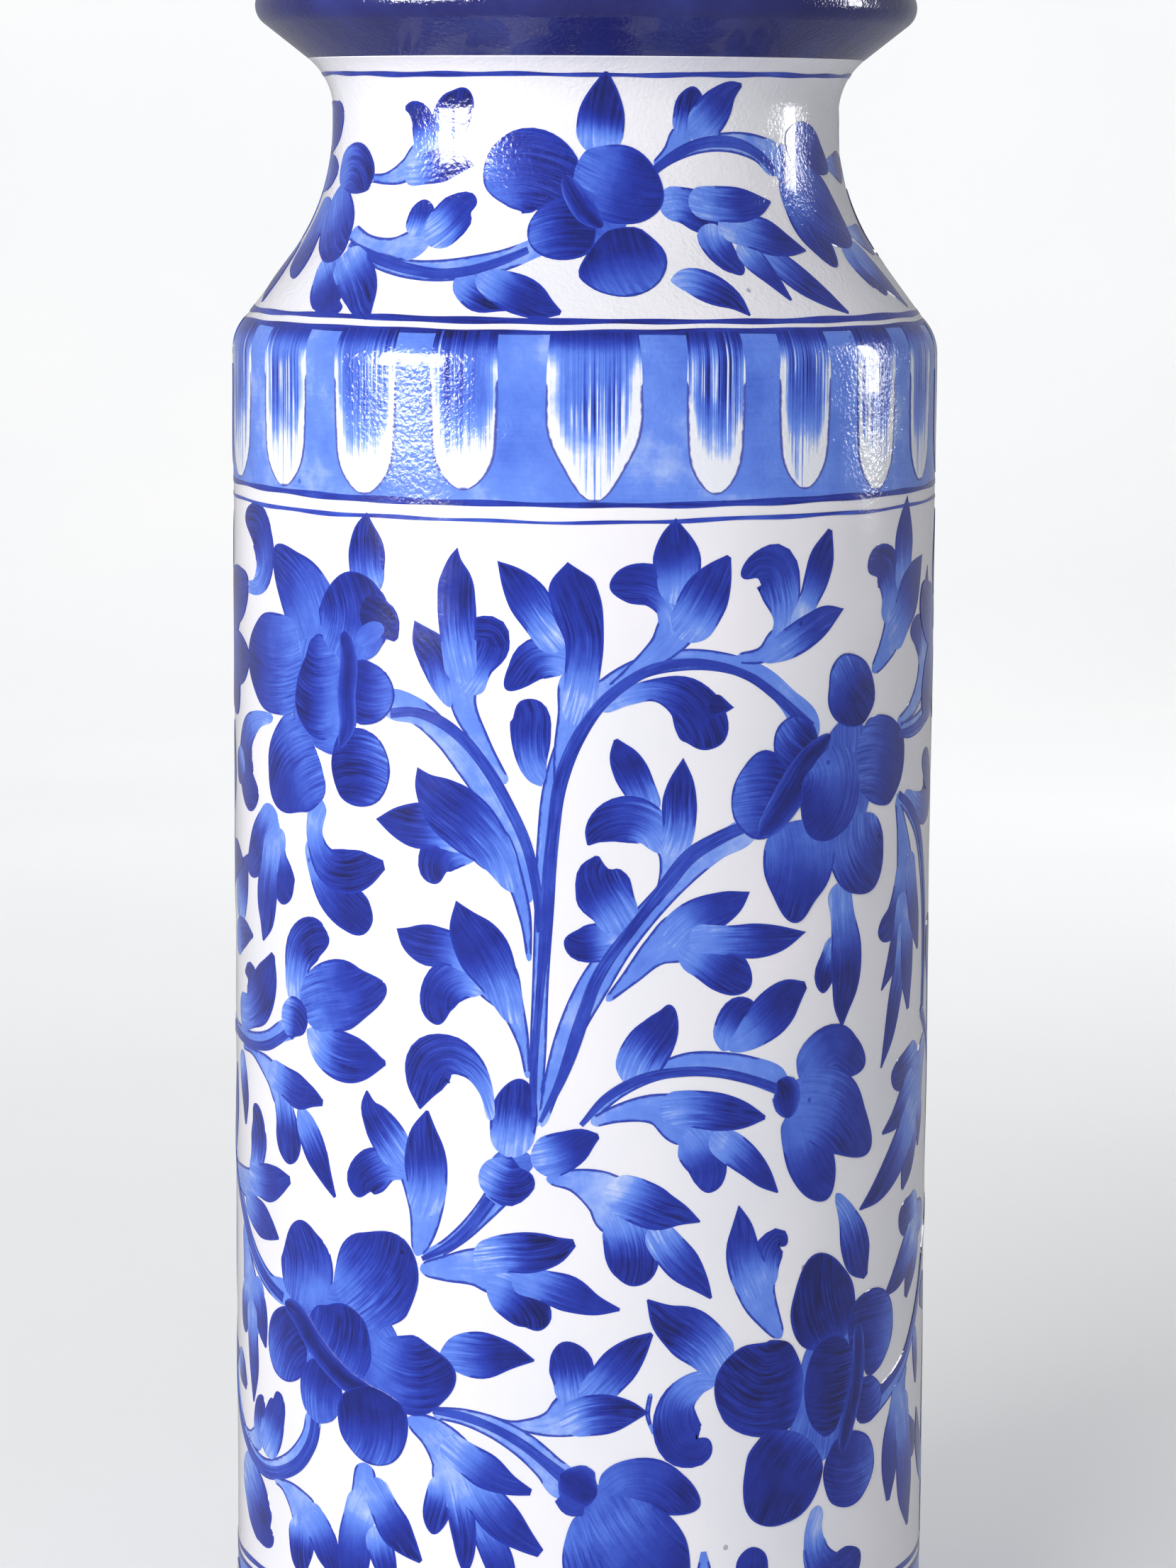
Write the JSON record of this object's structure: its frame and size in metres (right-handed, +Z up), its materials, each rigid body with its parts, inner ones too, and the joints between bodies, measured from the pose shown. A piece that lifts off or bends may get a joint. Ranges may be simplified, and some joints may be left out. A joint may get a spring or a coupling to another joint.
{
  "type": "pottery vase",
  "caption": "Tall straight-sided glazed pottery vase with a short waisted neck and rolled mouth, painted in blue with flowers, leaves and banded borders.",
  "frame": {"origin": "centre of the face that the foot ring stands on", "axes": "+Z up, along the vase's axis of revolution; +Y points away from the viewer, -Y is the painted front"},
  "size_m": [0.15, 0.15, 0.3806],
  "materials": {
    "bare_clay": "matt, unglazed",
    "clay_body": "matt, under glaze",
    "slip": "matt, under glaze",
    "white_glaze": "glossy with slight orange-peel",
    "cobalt_glaze": "glossy, deep cobalt",
    "clear_glaze": "glossy, thin"
  },
  "bodies": {
    "root": {"foot_ring": "bare_clay", "foot_slip_seam": "slip", "base_dish": "clay_body", "base_slip_seam": "slip", "lower_wall": "clay_body", "mid_wall_slip_seam": "slip", "upper_wall": "clay_body", "shoulder_slip_seam": "slip", "shoulder": "clay_body", "neck_slip_seam": "slip", "neck_collar": "clay_body", "flare_slip_seam": "slip", "mouth_flare": "clay_body", "lip_slip_seam": "slip", "lip_coil": "clay_body", "white_body_glaze": "white_glaze", "cobalt_rim_glaze": "cobalt_glaze", "cobalt_foot_glaze": "cobalt_glaze", "liner_glaze": "clear_glaze", "underside_glaze": "clear_glaze"}
  },
  "joints": []
}
